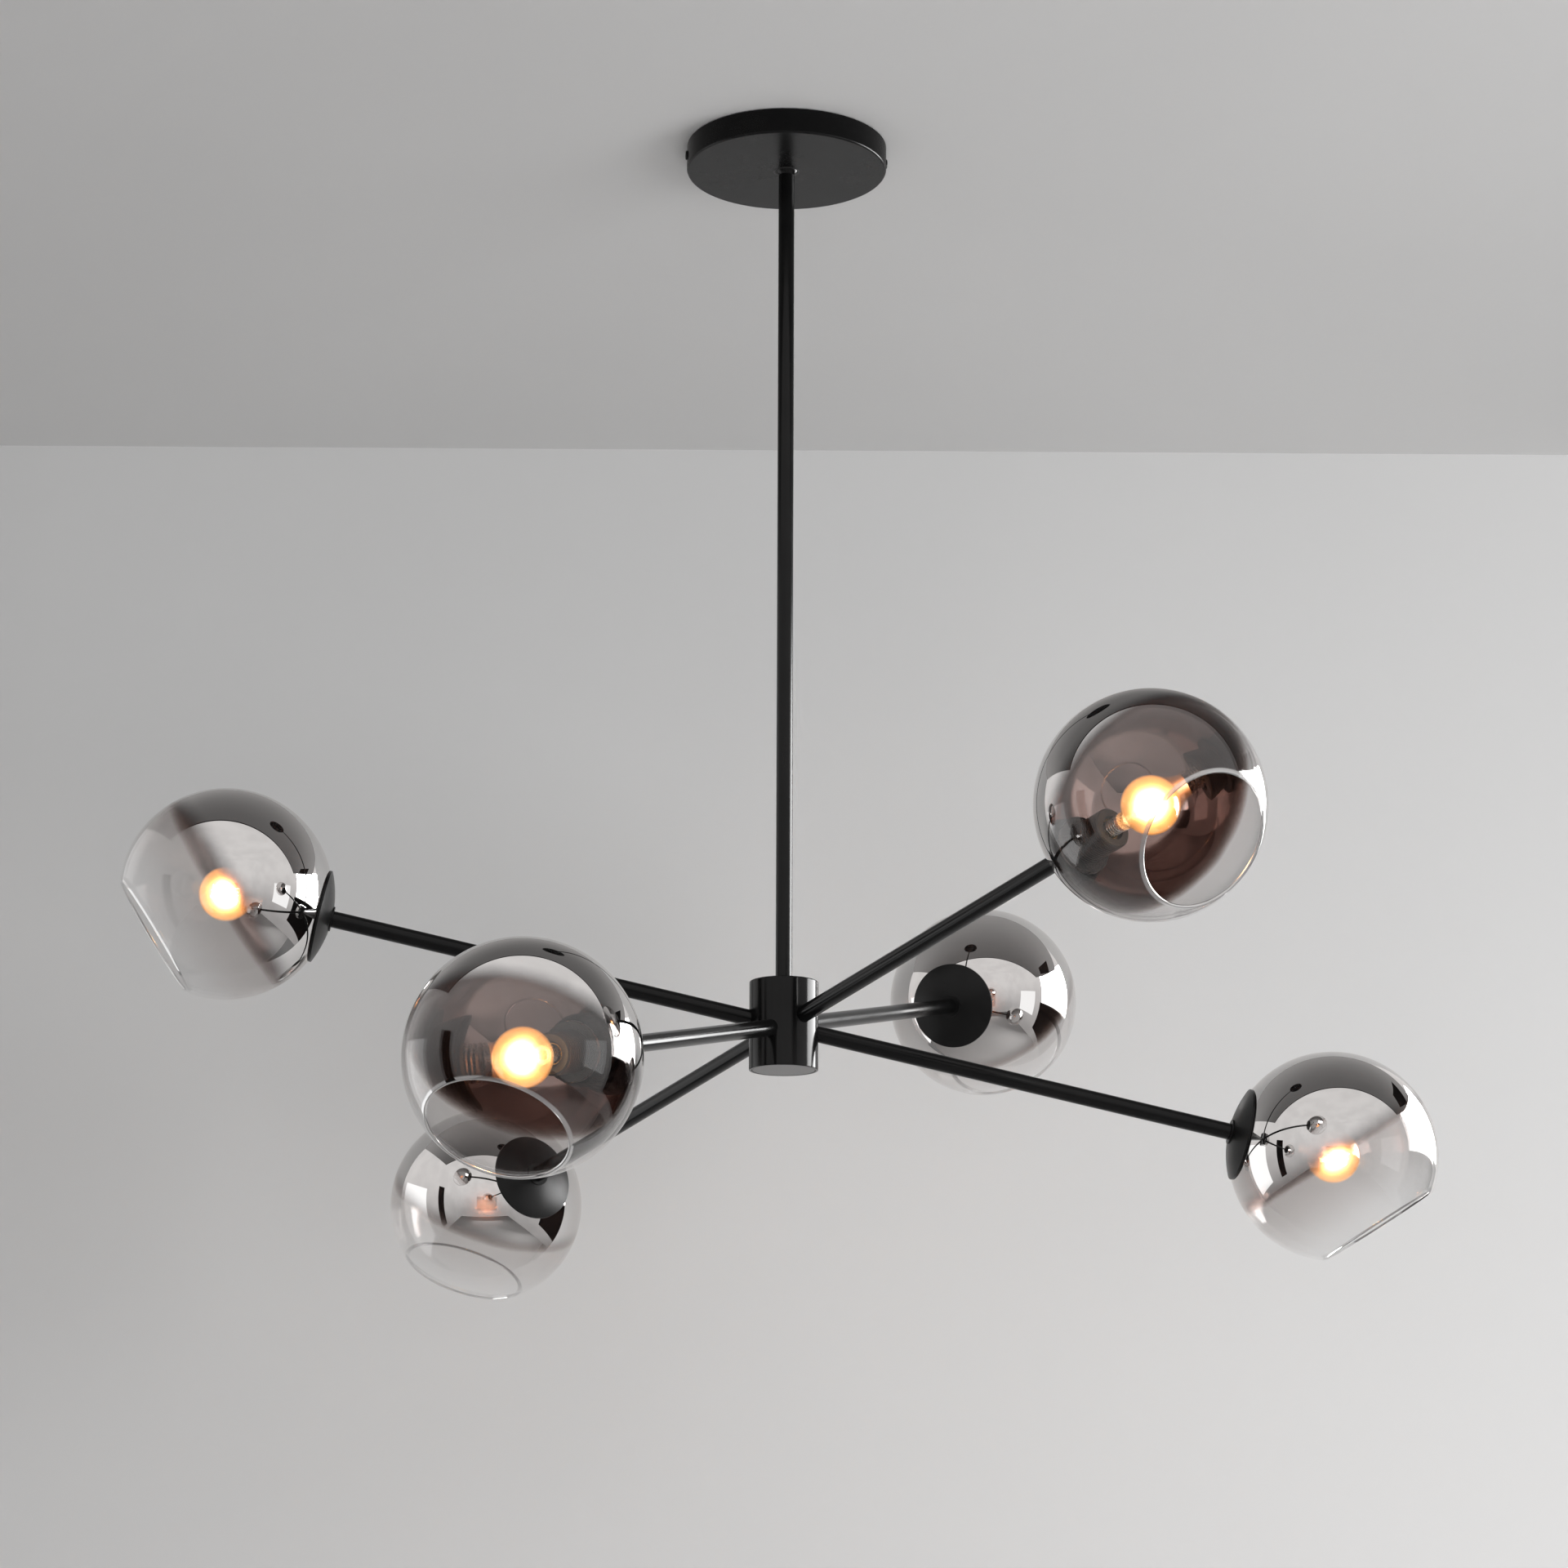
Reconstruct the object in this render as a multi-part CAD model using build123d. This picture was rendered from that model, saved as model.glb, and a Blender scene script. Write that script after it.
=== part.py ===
from build123d import *
import os
from math import sin, cos, tan, radians, sqrt, asin, degrees, pi

os.makedirs("parts", exist_ok=True)

# ---------------------------------------------------------------------------
# Six-arm staggered chandelier, millimetres, +Z up.
# Origin: middle of the ceiling crossbar, on the ceiling plane. Arm 1 and the
# crossbar lie along +X. Everything hangs below z = 0.
# ---------------------------------------------------------------------------

# ceiling canopy (pressed steel pan)
CAN_R = 76.0            # outer radius
CAN_H = 19.0            # depth of the pan
CAN_T = 1.2             # sheet thickness
CAN_EDGE = 1.6          # outer edge radius
CAN_HOLE = 10.0         # centre hole radius

# crossbar
BAR_HALF = 73.6         # half length, to the outside of the ears
BAR_W = 16.0
BAR_T = 2.0
BAR_HUB_R = 16.0        # round middle
BAR_BORE = 10.0         # wire hole radius
SLOT_PITCH = 88.9       # outlet-box screw spacing, 3.5 in
SLOT_R = 2.3
SLOT_LEN = 12.0
EAR_DROP = 13.0
SCREW_Z = -9.0          # height of the canopy side screws

# hang-straight ball swivel
BALL_R = 10.0
BALL_Z = -CAN_H + 4.9   # ball centre
SEAT_GAP = 0.06         # running clearance in the seat
SEAT_LIP = 0.2          # seat stands this far below the canopy face
FLANGE_R = 14.0
FLANGE_TOP = BALL_Z - 0.4

# tube stock and threaded nipples
TUBE_R = 6.0
TUBE_BORE = 5.0
NIP_R = 4.95
NIP_BORE = 3.8
NUT_AF = 14.0
NUT_T = 3.0

# hub
HUB_Z = -680.0          # hub middle, where the arm axes cross
HUB_R = 25.0
HUB_H = 65.0
HUB_IN = 20.0
HUB_TOP_T = 6.0
SEAT_DEPTH = 3.0        # tube counterbore depth in the hub top
CAP_R = 23.0
CAP_T = 2.4

# arms
N_ARMS = 6
ARM_TILT = 12.2         # degrees, up on one arm, down on the next
ARM_SEAT = 22.6         # arm tube starts here, from the hub axis along the arm
GLOBE_AT = 412.0        # globe centre, from the hub middle along the arm

# glass shade
GLOBE_R = 76.0
GLASS_T = 2.2
MOUTH_R = 46.5          # radius of the cut mouth
MOUTH_TURN = 45.0       # mouth axis, below the arm axis, degrees
FITTER_R = 14.7         # hole over the lampholder

# shade cup (pressed dish that backs the glass)
CUP_R = 33.5
CUP_IN = GLOBE_R + 0.35
CUP_T = 1.4
CUP_BOSS_R = 9.0
CUP_FACE = -78.2        # flat where the arm tube butts, from the globe centre

# lampholder, candelabra size
LH_R = 13.95
LH_BACK = -75.75
LH_FRONT = -38.0
LH_CAV = 6.85
RING_R = 20.0
RING_T = 4.2

# bulb, small globe
BULB_R = 19.5
BULB_T = 0.8
BASE_R = 5.85

WIRE_R = 0.9


def ring(r_out, r_in, z0, z1):
    """Plain tube between two heights."""
    body = Pos(0, 0, (z0 + z1) / 2) * Cylinder(r_out, z1 - z0)
    hole = Pos(0, 0, (z0 + z1) / 2) * Cylinder(r_in, z1 - z0 + 2)
    return body - hole


def disc(r, z0, z1):
    return Pos(0, 0, (z0 + z1) / 2) * Cylinder(r, z1 - z0)


def turned(edges):
    """Solid of revolution about Z from profile edges in the XZ plane."""
    face = make_face(Plane.XZ * Curve() + edges)
    return revolve(face, Axis.Z, 360)


def profile(points):
    """Closed polyline profile (r, z) turned about Z."""
    pts = [(r, 0, z) for r, z in points]
    face = make_face(Polyline(*pts, close=True))
    return revolve(face, Axis.Z, 360)


def tube_path(points, radius, r):
    """Round wire along a filleted path."""
    path = FilletPolyline(*points, radius=radius) if len(points) > 2 else Line(*points)
    start = Plane(origin=path @ 0, z_dir=path % 0)
    return sweep(start * Circle(r), path=path)


def solids(*parts):
    out = []
    for p in parts:
        out.extend(p.solids())
    return out


def save(name, *parts):
    items = solids(*parts)
    shape = items[0] if len(items) == 1 else Compound(children=items)
    export_step(shape, f"parts/{name}.step")


# ---------------------------------------------------------------------------
# Ceiling side
# ---------------------------------------------------------------------------
bar = Pos(0, 0, -BAR_T / 2) * Box(2 * BAR_HALF, BAR_W, BAR_T)
bar += disc(BAR_HUB_R, -BAR_T, 0)
for sx in (-1, 1):
    bar += Pos(sx * (BAR_HALF - BAR_T / 2), 0, -EAR_DROP / 2) * Box(BAR_T, BAR_W - 2, EAR_DROP)
bar -= disc(BAR_BORE, -BAR_T - 1, 1)
for sx in (-1, 1):
    bar -= Pos(sx * SLOT_PITCH / 2, 0, -BAR_T / 2) * extrude(
        SlotOverall(SLOT_LEN, 2 * SLOT_R), BAR_T + 1, both=True
    )
    bar -= Pos(sx * BAR_HALF, 0, SCREW_Z) * Rot(0, 90, 0) * Cylinder(2.05, 12)
bar -= Pos(25, 0, -1) * Cylinder(1.75, 6)
bar = fillet(
    [e for e in bar.edges().filter_by(Axis.Y) if abs(abs(e.center().X) - BAR_HALF) < 0.01 and abs(e.center().Z) < 0.01],
    1.2,
)
save("crossbar", bar)

ground = disc(3.9, -BAR_T - 2.6, -BAR_T)
ground = fillet(ground.edges().filter_by(GeomType.CIRCLE).sort_by(Axis.Z)[0], 0.7)
ground -= Pos(0, 0, -BAR_T - 2.6) * Box(5.4, 0.9, 1.8)
ground += disc(1.7, -BAR_T - 0.2, 2.0 - BAR_T)
save("ground_screw", Pos(25, 0, 0) * ground)

canopy = disc(CAN_R, -CAN_H, 0)
canopy = fillet(canopy.edges().filter_by(GeomType.CIRCLE).sort_by(Axis.Z)[0], CAN_EDGE)
pan = disc(CAN_R - CAN_T, -CAN_H + CAN_T, 5)
pan = fillet(pan.edges().filter_by(GeomType.CIRCLE).sort_by(Axis.Z)[0], 0.8)
canopy -= pan
canopy -= disc(CAN_HOLE, -CAN_H - 1, 0)
for sx in (-1, 1):
    canopy -= Pos(sx * CAN_R, 0, SCREW_Z) * Rot(0, 90, 0) * Cylinder(2.2, 8)
save("canopy", canopy)

side = []
for sx in (-1, 1):
    head = Pos(0, 0, 0.65) * Cylinder(3.6, 1.3)
    head = fillet(head.edges().filter_by(GeomType.CIRCLE).sort_by(Axis.Z)[-1], 0.8)
    head -= Pos(0, 0, 1.0) * Box(0.8, 5.0, 0.7)
    head -= Pos(0, 0, 1.0) * Box(5.0, 0.8, 0.7)
    head += Pos(0, 0, -4.4) * Cylinder(2.0, 9.2)
    turn = Rot(0, 90, 0) if sx > 0 else Rot(0, -90, 0)
    side.append(Pos(sx * (CAN_R + 0.05), 0, SCREW_Z) * turn * head)
save("canopy_screws", *side)

# ball seat: nylon bush with a spherical inside, flanged above the sheet
bush = disc(FLANGE_R, -CAN_H + CAN_T + 0.05, FLANGE_TOP)
bush += disc(CAN_HOLE - 0.1, -CAN_H - SEAT_LIP, -CAN_H + CAN_T + 0.1)
bush -= Pos(0, 0, BALL_Z) * Sphere(BALL_R + SEAT_GAP)
save("ball_seat", bush)

# ball: cut flat above, and below where the stem meets it
BALL_FLAT = sqrt(BALL_R**2 - TUBE_R**2)
ball = Pos(0, 0, BALL_Z) * Sphere(BALL_R)
ball -= Pos(0, 0, BALL_Z + 7.5 + 5) * Box(40, 40, 10)
ball -= Pos(0, 0, BALL_Z - BALL_FLAT - 5) * Box(40, 40, 10)
ball -= disc(NIP_R + 0.05, BALL_Z - BALL_R, BALL_Z + 3)
ball -= disc(NIP_BORE, BALL_Z, BALL_Z + BALL_R)
save("swivel_ball", ball)

# ---------------------------------------------------------------------------
# Stem
# ---------------------------------------------------------------------------
STEM_TOP = BALL_Z - BALL_FLAT
HUB_TOP = HUB_Z + HUB_H / 2
STEM_BOT = HUB_TOP - SEAT_DEPTH
STEM_MID = (STEM_TOP + HUB_TOP) / 2
save("stem_upper", ring(TUBE_R, TUBE_BORE, STEM_MID, STEM_TOP))
save("stem_lower", ring(TUBE_R, TUBE_BORE, STEM_BOT, STEM_MID))
save(
    "stem_nipples",
    ring(NIP_R, NIP_BORE, STEM_TOP - 9, STEM_TOP + 10),
    ring(NIP_R, NIP_BORE, STEM_MID - 9, STEM_MID + 9),
    ring(NIP_R, NIP_BORE, STEM_BOT - 8, STEM_BOT + 10),
)


def hex_nut(z0):
    nut = Pos(0, 0, z0) * extrude(RegularPolygon(NUT_AF / 2, 6, major_radius=False), NUT_T)
    return nut - disc(NIP_R + 0.05, z0 - 1, z0 + NUT_T + 1)


CEIL = HUB_TOP - HUB_TOP_T
save("stem_nut", hex_nut(CEIL - NUT_T))

# ---------------------------------------------------------------------------
# Hub: turned pot with a closed top, a round of six tilted arm seats and a
# plug in the bottom.
# ---------------------------------------------------------------------------
HUB_BOT = HUB_Z - HUB_H / 2


def arm_plane(i):
    """Frame on arm i: Z outwards along the arm, X up in the arm's plane."""
    az = radians(60 * i)
    t = radians(ARM_TILT if i % 2 else -ARM_TILT)
    u = (cos(az) * cos(t), sin(az) * cos(t), sin(t))
    n = (-cos(az) * sin(t), -sin(az) * sin(t), cos(t))
    return Plane(origin=(0, 0, HUB_Z), x_dir=n, z_dir=u)


def globe_plane(i):
    """As arm_plane, moved out to the middle of the glass globe."""
    p = arm_plane(i)
    return p.offset(GLOBE_AT)


hub = disc(HUB_R, HUB_BOT, HUB_TOP)
rims = hub.edges().filter_by(GeomType.CIRCLE).sort_by(Axis.Z)
hub = fillet(rims[-1], 1.0)
rims = hub.edges().filter_by(GeomType.CIRCLE).sort_by(Axis.Z)
hub = fillet(rims[0], 0.5)
hub -= disc(HUB_IN, HUB_BOT - 1, CEIL)
hub -= disc(CAP_R + 0.15, HUB_BOT - 1, HUB_BOT + CAP_T + 0.1)
hub -= disc(TUBE_R + 0.1, STEM_BOT, HUB_TOP + 1)
hub -= disc(NIP_R + 0.15, CEIL - 1, HUB_TOP)
for i in range(N_ARMS):
    loc = arm_plane(i).location
    hub -= loc * disc(TUBE_R + 0.12, ARM_SEAT, 32)
    hub -= loc * disc(NIP_R + 0.15, 14, 32)
save("hub", hub)

plug = disc(CAP_R, HUB_BOT + 0.1, HUB_BOT + CAP_T + 0.1)
plug = chamfer(plug.edges().filter_by(GeomType.CIRCLE).sort_by(Axis.Z)[0], 0.35)
plug += ring(HUB_IN - 0.1, HUB_IN - 2.6, HUB_BOT + CAP_T, HUB_BOT + CAP_T + 6)
save("hub_cap", plug)

# ---------------------------------------------------------------------------
# Arms and shades
# ---------------------------------------------------------------------------
ARM_END = GLOBE_AT + CUP_FACE

cup = Sphere(CUP_IN + CUP_T) - Sphere(CUP_IN)
cup = cup & disc(CUP_R, -CUP_IN - CUP_T - 1, -40)
cup = [s for s in cup.solids()][0]
cup = cup + disc(CUP_BOSS_R, CUP_FACE, -sqrt(CUP_IN**2 - CUP_BOSS_R**2) + 0.05)
cup = cup - disc(NIP_R + 0.15, -90, -60)

half = asin(MOUTH_R / GLOBE_R)
mid_r = GLOBE_R - GLASS_T / 2
in_r = GLOBE_R - GLASS_T
# shell turned about its own mouth axis, full-round lip
o_end = (GLOBE_R * sin(half), 0, GLOBE_R * cos(half))
i_end = (in_r * sin(half), 0, in_r * cos(half))
lip = (mid_r * sin(half) - GLASS_T / 2 * cos(half), 0, mid_r * cos(half) + GLASS_T / 2 * sin(half))
shell_face = make_face(
    Curve()
    + [
        ThreePointArc((0, 0, -GLOBE_R), (GLOBE_R, 0, 0), o_end),
        ThreePointArc(o_end, lip, i_end),
        ThreePointArc(i_end, (in_r, 0, 0), (0, 0, -in_r)),
        Line((0, 0, -in_r), (0, 0, -GLOBE_R)),
    ]
)
shell = revolve(shell_face, Axis.Z, 360)
# local frame: Z out along the arm, X up, so the mouth turns from +Z to -X
shell = Rot(0, -MOUTH_TURN, 0) * shell
shell = shell - disc(FITTER_R, -GLOBE_R - 5, -60)

lampholder = profile(
    [
        (NIP_R + 0.05, LH_BACK),
        (8.8, LH_BACK),
        (8.8, LH_BACK + 0.85),
        (LH_R - 0.8, LH_BACK + 0.85),
        (LH_R, LH_BACK + 1.65),
        (LH_R, LH_FRONT - 1.2),
        (LH_R - 1.2, LH_FRONT),
        (LH_CAV + 1.6, LH_FRONT),
        (LH_CAV + 1.0, LH_FRONT - 1.0),
        (LH_CAV + 1.0, LH_FRONT - 3.0),
        (LH_CAV, LH_FRONT - 3.0),
        (LH_CAV, -56.0),
        (2.7, -56.0),
        (2.7, -58.5),
        (9.0, -58.5),
        (9.0, -66.0),
        (NIP_R + 0.05, -66.0),
    ]
)

SHELL_FRONT = LH_FRONT - 3.0
screw_shell = ring(LH_CAV - 0.05, LH_CAV - 0.45, -54.5, SHELL_FRONT)
contact = disc(2.6, -58.4, -52.6)

RING_BACK = -sqrt(in_r**2 - RING_R**2) + 0.4
shade_ring = ring(RING_R, LH_R + 0.05, RING_BACK, RING_BACK + RING_T)
shade_ring = chamfer(
    shade_ring.edges().filter_by(GeomType.CIRCLE).group_by(SortBy.RADIUS)[-1], 0.6
)
for k in range(12):
    shade_ring -= Rot(0, 0, 30 * k) * Pos(RING_R + 0.5, 0, RING_BACK + RING_T / 2) * Cylinder(1.2, RING_T + 1)

# bulb envelope, open at the neck where the base takes it
b_in = BULB_R - BULB_T
NECK_Z = -28.0
NECK_R = 5.2
tang = radians(40)


def bulb_outline(rb, rn, zn):
    """Points and arcs from the neck to the crown: (p0, p1, mid, crown)."""
    p1 = (rb * sin(tang), 0, -rb * cos(tang))
    return (rn, 0, zn), p1, (rb, 0, 0), (0, 0, rb)


p0, p1, pm, pc = bulb_outline(BULB_R, NECK_R + BULB_T, NECK_Z)
q0, q1, qm, qc = bulb_outline(b_in, NECK_R, NECK_Z)
neck_o = Spline(p0, p1, tangents=((0, 0, 1), (cos(tang), 0, sin(tang))))
neck_i = Spline(q0, q1, tangents=((0, 0, 1), (cos(tang), 0, sin(tang))))
bulb_face = make_face(
    Curve()
    + [
        neck_o,
        ThreePointArc(p1, pm, pc),
        Line(pc, qc),
        ThreePointArc(qc, qm, q1),
        neck_i,
        Line(q0, p0),
    ]
)
bulb = revolve(bulb_face, Axis.Z, 360)

base = profile(
    [
        (0, -51.9),
        (2.2, -51.9),
        (2.4, -50.2),
        (4.2, -48.4),
        (BASE_R, -47.4),
        (BASE_R, -30.0),
        (6.25, -29.6),
        (6.25, -27.2),
        (NECK_R + BULB_T + 0.03, -27.2),
        (NECK_R + BULB_T + 0.03, NECK_Z - 0.03),
        (0, NECK_Z - 0.03),
    ]
)

# filament on its glass pinch: one piece, held by the base
FIL_R = 0.55
pinch = disc(2.6, NECK_Z, -16.0)
pinch = fillet(pinch.edges().filter_by(GeomType.CIRCLE).sort_by(Axis.Z)[-1], 1.2)
loop = tube_path(
    [(-1.4, 0, -17.5), (-7.0, 0, -9.0), (-7.0, 0, 9.0), (0, 0, 12.5), (7.0, 0, 9.0), (7.0, 0, -9.0), (1.4, 0, -17.5)],
    1.6,
    FIL_R,
)
filament = pinch + loop

groups = {"arm_nuts": [], "arm_nipples": [], "shade_rings": [], "screw_shells": [], "socket_contacts": [], "filaments": [], "arm_wires": []}
for i in range(N_ARMS):
    a = arm_plane(i).location
    g = globe_plane(i).location
    n = i + 1
    save(f"arm_{n}", a * ring(TUBE_R, TUBE_BORE, ARM_SEAT, ARM_END))
    save(f"shade_cup_{n}", g * cup)
    save(f"lampholder_{n}", g * lampholder)
    save(f"shade_glass_{n}", g * shell)
    save(f"bulb_glass_{n}", g * bulb)
    save(f"bulb_base_{n}", g * base)
    groups["arm_nuts"].append(a * Rot(0, 0, 30) * hex_nut(14.8))
    groups["arm_nipples"].append(a * ring(NIP_R, NIP_BORE, 13.2, ARM_SEAT + 9))
    groups["arm_nipples"].append(a * ring(NIP_R, NIP_BORE, ARM_END - 9, ARM_END + 12))
    groups["shade_rings"].append(g * shade_ring)
    groups["screw_shells"].append(g * screw_shell)
    groups["socket_contacts"].append(g * contact)
    groups["filaments"].append(g * filament)

# ---------------------------------------------------------------------------
# Wiring: two leads down the stem, a crimp above and below the crossing, and
# two leads out through each arm to its lampholder.
# ---------------------------------------------------------------------------
CRIMP_R = 4.2
LEAD = 2.7              # radius of the ring of leads at a crimp
OFF = 1.15              # lead offset from the arm axis
crimp_hi = disc(CRIMP_R, HUB_Z + 6.0, HUB_Z + 16.0)
crimp_lo = disc(CRIMP_R, HUB_Z - 16.0, HUB_Z - 6.0)
save("splice_crimps", crimp_hi, crimp_lo)

for i in range(N_ARMS):
    az = radians(60 * i)
    t = radians(ARM_TILT if i % 2 else -ARM_TILT)
    e = (cos(az), sin(az))
    for s in (1, -1):
        # where the offset lead line crosses the radius LEAD
        z_corner = LEAD * tan(t) + s * OFF / cos(t)
        far = GLOBE_AT - 59.5
        end_r = far * cos(t) - s * OFF * sin(t)
        end_z = far * sin(t) + s * OFF * cos(t)
        pts = [
            (LEAD * e[0], LEAD * e[1], HUB_Z + s * 6.0),
            (LEAD * e[0], LEAD * e[1], HUB_Z + z_corner),
            (end_r * e[0], end_r * e[1], HUB_Z + end_z),
        ]
        groups["arm_wires"].append(tube_path(pts, 1.9, WIRE_R))

for name, items in groups.items():
    save(name, *items)

hot = tube_path([(1.3, 0, -0.6), (1.3, 0, HUB_Z + 16.0)], 1, WIRE_R)
c36 = (-7.0 * cos(radians(30)), -7.0 * sin(radians(30)))
neutral = tube_path(
    [
        (-1.3, 0, -0.6),
        (-1.3, 0, HUB_Z + 22.0),
        (c36[0], c36[1], HUB_Z + 16.0),
        (c36[0], c36[1], HUB_Z - 23.0),
        (0, 0, HUB_Z - 23.0),
        (0, 0, HUB_Z - 16.0),
    ],
    2.4,
    WIRE_R,
)
save("stem_wires", hot, neutral)

print("stem", STEM_TOP, STEM_MID, STEM_BOT, "ball", BALL_Z)
print("arm end", ARM_END, "ring back", RING_BACK)
for i in range(N_ARMS):
    p = globe_plane(i)
    print(i + 1, [round(v, 4) for v in p.origin], [round(v, 6) for v in p.z_dir])
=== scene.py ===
import math

import bmesh
import bpy
from mathutils import Matrix, Vector


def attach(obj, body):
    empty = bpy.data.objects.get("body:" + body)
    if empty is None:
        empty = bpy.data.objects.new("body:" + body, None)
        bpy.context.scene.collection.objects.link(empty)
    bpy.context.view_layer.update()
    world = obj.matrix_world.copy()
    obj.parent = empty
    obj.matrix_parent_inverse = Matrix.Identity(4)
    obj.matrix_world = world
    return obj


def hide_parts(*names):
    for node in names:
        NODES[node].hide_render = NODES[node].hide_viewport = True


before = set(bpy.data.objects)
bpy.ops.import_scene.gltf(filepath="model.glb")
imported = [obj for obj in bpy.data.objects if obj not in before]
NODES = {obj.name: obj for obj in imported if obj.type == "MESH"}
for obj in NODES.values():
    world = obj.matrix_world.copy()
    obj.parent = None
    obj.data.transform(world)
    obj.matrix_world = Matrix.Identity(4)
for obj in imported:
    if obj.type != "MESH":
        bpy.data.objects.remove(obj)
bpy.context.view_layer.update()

scene = bpy.context.scene

# ------------------------------------------------------------------ sizes of the part, in metres
HUB = Vector((0, 0, -0.680))
TILT = math.radians(12.2)
GLOBE_AT = 0.412
GLOBE_R, GLASS_T = 0.0760, 0.0022
MOUTH_R = 0.0465
FITTER_R = 0.0147


def arm_frame(i):
    """Origin at the globe's centre, and the directions out along the arm, up across it and sideways."""
    az = math.radians(60 * (i - 1))
    t = -TILT if i % 2 else TILT
    u = Vector((math.cos(az) * math.cos(t), math.sin(az) * math.cos(t), math.sin(t)))
    n = Vector((-math.cos(az) * math.sin(t), -math.sin(az) * math.sin(t), math.cos(t)))
    e = t - math.radians(45)
    m = Vector((math.cos(az) * math.cos(e), math.sin(az) * math.cos(e), math.sin(e)))
    return HUB + GLOBE_AT * u, u, n, n.cross(u), m


ARMS = {i: arm_frame(i) for i in range(1, 7)}

# ------------------------------------------------------------------ camera
AZ0 = math.radians(5.59)
CA, SA = math.cos(AZ0), math.sin(AZ0)


def turned(v):
    return Vector((v[0] * CA + v[1] * SA, -v[0] * SA + v[1] * CA, v[2]))


def room(x, y, z):
    """A point of the room: x to the camera's right, y away from it, z up from the hub's middle."""
    return turned((x, y, z)) + HUB


PITCH, YAW, ROLL = (math.radians(a) for a in (13.783, 0.468, 0.194))
fwd = Vector((math.sin(YAW) * math.cos(PITCH), math.cos(YAW) * math.cos(PITCH), math.sin(PITCH)))
right = Vector((math.cos(YAW), -math.sin(YAW), 0))
up = right.cross(fwd)
r2 = math.cos(ROLL) * right + math.sin(ROLL) * up
u2 = -math.sin(ROLL) * right + math.cos(ROLL) * up
cam = bpy.data.objects.new("camera", bpy.data.cameras.new("camera"))
scene.collection.objects.link(cam)
cam.data.sensor_width = 36
cam.data.lens = 36 * 4800.6 / 1920
cam.data.clip_start, cam.data.clip_end = 0.05, 60
axes = [turned(r2), turned(u2), -turned(fwd)]
cam.matrix_world = Matrix.Translation(room(-0.02317, -2.79402, -0.50526)) @ Matrix(
    [[a[k] for a in axes] + [0] for k in range(3)] + [[0, 0, 0, 1]]
)
scene.camera = cam
scene.view_settings.view_transform = "Standard"
scene.view_settings.look = "None"
scene.cycles.max_bounces = 24
scene.cycles.transparent_max_bounces = 40
scene.cycles.glossy_bounces = 8
scene.cycles.sample_clamp_indirect = 6


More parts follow.
